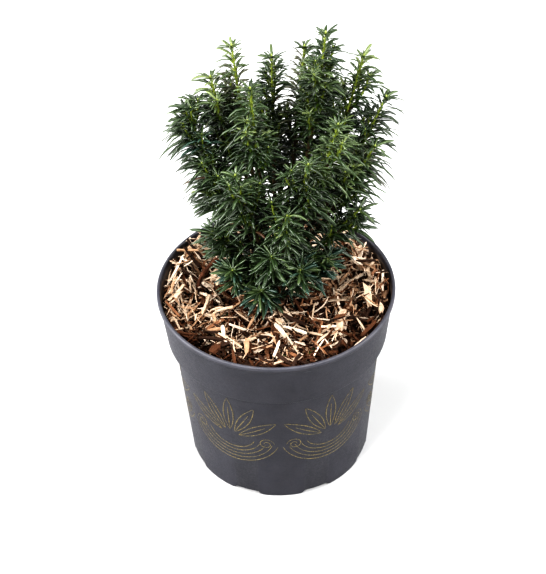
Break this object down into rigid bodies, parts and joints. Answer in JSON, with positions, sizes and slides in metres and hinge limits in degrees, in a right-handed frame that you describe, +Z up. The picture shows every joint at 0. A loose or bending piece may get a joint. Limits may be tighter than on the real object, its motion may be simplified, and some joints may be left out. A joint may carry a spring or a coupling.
{
  "type": "potted english yew shrub",
  "caption": "Small upright conifer shrub with needled shoots on slender boughs, in a round collared nursery pot with root ball and wood-chip mulch.",
  "frame": {"origin": "centre of the pot's flat underside, on the surface it stands on", "axes": "+Z up along the pot's axis; the front of the plant faces -Y; +X to the right"},
  "size_m": [0.1979, 0.19, 0.3995],
  "materials": {
    "pot": "satin anthracite",
    "soil": "dark moist potting soil",
    "mulch": "rough splintered wood chips",
    "bark": "thin scaly red-brown bark",
    "foliage": "glossy dark green needles"
  },
  "bodies": {
    "root": {"pot": "pot", "root_ball": "soil", "wood_chip_mulch": "mulch", "trunk": "bark", "bough_left_outer": "bark", "bough_left_inner": "bark", "bough_left_tall": "bark", "bough_back_centre": "bark", "bough_right_inner": "bark", "bough_right_tall": "bark", "bough_right_upper": "bark", "bough_right_outer": "bark", "bough_front_left_tall": "bark", "bough_front_right": "bark", "bough_right_lower": "bark", "bough_front_upper": "bark", "bough_front_left_mid": "bark", "bough_left_mid": "bark", "bough_front_mid": "bark", "bough_right_low": "bark", "bough_left_low": "bark", "bough_front_low": "bark", "bough_front_right_low": "bark", "bough_back_left": "bark", "bough_back_right": "bark", "bough_back_left_low": "bark", "bough_back_low": "bark", "bough_back_right_low": "bark", "bough_front_centre_low": "bark", "bough_right_base": "bark", "bough_left_base": "bark", "bough_back_base": "bark", "foliage_left_outer": "foliage", "foliage_left_inner": "foliage", "foliage_left_tall": "foliage", "foliage_back_centre": "foliage", "foliage_right_inner": "foliage", "foliage_right_tall": "foliage", "foliage_right_upper": "foliage", "foliage_right_outer": "foliage", "foliage_front_left_tall": "foliage", "foliage_front_right": "foliage", "foliage_right_lower": "foliage", "foliage_front_upper": "foliage", "foliage_front_left_mid": "foliage", "foliage_left_mid": "foliage", "foliage_front_mid": "foliage", "foliage_right_low": "foliage", "foliage_left_low": "foliage", "foliage_front_low": "foliage", "foliage_front_right_low": "foliage", "foliage_back_left": "foliage", "foliage_back_right": "foliage", "foliage_back_left_low": "foliage", "foliage_back_low": "foliage", "foliage_back_right_low": "foliage", "foliage_front_centre_low": "foliage", "foliage_right_base": "foliage", "foliage_left_base": "foliage", "foliage_back_base": "foliage"}
  },
  "joints": []
}
